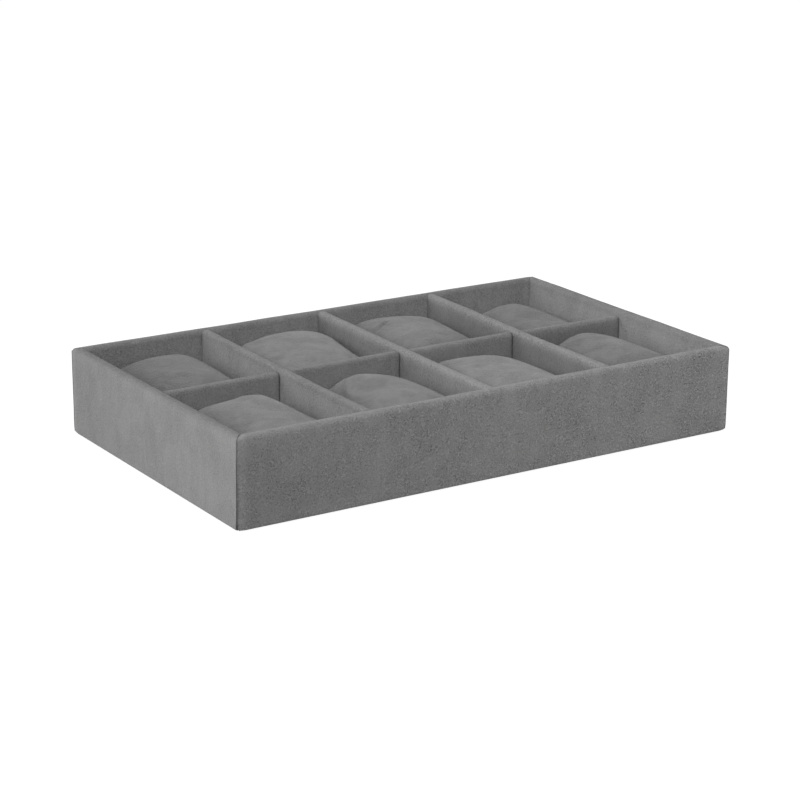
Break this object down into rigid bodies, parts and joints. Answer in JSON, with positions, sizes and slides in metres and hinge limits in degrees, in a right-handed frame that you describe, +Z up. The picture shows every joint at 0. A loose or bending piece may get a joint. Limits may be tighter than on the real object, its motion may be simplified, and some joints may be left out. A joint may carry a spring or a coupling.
{
  "type": "watch organizer",
  "caption": "Open velvet-wrapped tray divided into compartments, each with a loose stuffed velvet pillow that a watch closes round.",
  "frame": {"origin": "centre of the underside, on the surface that the tray stands on", "axes": "+X along the long side, +Y from the front wall to the back wall, +Z up"},
  "size_m": [0.35, 0.21, 0.0556],
  "materials": {
    "tray_velvet": "short-pile grey velvet, glued over board",
    "pillow_velvet": "short-pile grey velvet, sewn and stuffed",
    "board": "sanded fibreboard",
    "card": "plain grey card",
    "underside_paper": "black uncoated paper"
  },
  "bodies": {
    "tray": {"base_board": "board", "underside_sheet": "underside_paper", "floor_card": "card", "floor_velvet": "tray_velvet", "front_board": "board", "right_board": "board", "back_board": "board", "left_board": "board", "long_divider_1_board": "board", "long_divider_2_board": "board", "long_divider_3_board": "board", "cross_divider_1_board": "board", "cross_divider_2_board": "board", "cross_divider_3_board": "board", "cross_divider_4_board": "board", "front_velvet": "tray_velvet", "right_velvet": "tray_velvet", "back_velvet": "tray_velvet", "left_velvet": "tray_velvet", "long_divider_1_velvet": "tray_velvet", "long_divider_2_velvet": "tray_velvet", "long_divider_3_velvet": "tray_velvet", "cross_divider_1_velvet": "tray_velvet", "cross_divider_2_velvet": "tray_velvet", "cross_divider_3_velvet": "tray_velvet", "cross_divider_4_velvet": "tray_velvet"},
    "pillow_front_1_body": {"pillow_front_1": "pillow_velvet"},
    "pillow_front_2_body": {"pillow_front_2": "pillow_velvet"},
    "pillow_front_3_body": {"pillow_front_3": "pillow_velvet"},
    "pillow_front_4_body": {"pillow_front_4": "pillow_velvet"},
    "pillow_back_1_body": {"pillow_back_1": "pillow_velvet"},
    "pillow_back_2_body": {"pillow_back_2": "pillow_velvet"},
    "pillow_back_3_body": {"pillow_back_3": "pillow_velvet"},
    "pillow_back_4_body": {"pillow_back_4": "pillow_velvet"}
  },
  "joints": [
    {"name": "pillow_front_1_lift", "type": "slide", "parent": "tray", "child": "pillow_front_1_body", "axis": [0, 0, 1], "range_m": [0, 0.06]},
    {"name": "pillow_front_2_lift", "type": "slide", "parent": "tray", "child": "pillow_front_2_body", "axis": [0, 0, 1], "range_m": [0, 0.06]},
    {"name": "pillow_front_3_lift", "type": "slide", "parent": "tray", "child": "pillow_front_3_body", "axis": [0, 0, 1], "range_m": [0, 0.06]},
    {"name": "pillow_front_4_lift", "type": "slide", "parent": "tray", "child": "pillow_front_4_body", "axis": [0, 0, 1], "range_m": [0, 0.06]},
    {"name": "pillow_back_1_lift", "type": "slide", "parent": "tray", "child": "pillow_back_1_body", "axis": [0, 0, 1], "range_m": [0, 0.06]},
    {"name": "pillow_back_2_lift", "type": "slide", "parent": "tray", "child": "pillow_back_2_body", "axis": [0, 0, 1], "range_m": [0, 0.06]},
    {"name": "pillow_back_3_lift", "type": "slide", "parent": "tray", "child": "pillow_back_3_body", "axis": [0, 0, 1], "range_m": [0, 0.06]},
    {"name": "pillow_back_4_lift", "type": "slide", "parent": "tray", "child": "pillow_back_4_body", "axis": [0, 0, 1], "range_m": [0, 0.06]}
  ]
}
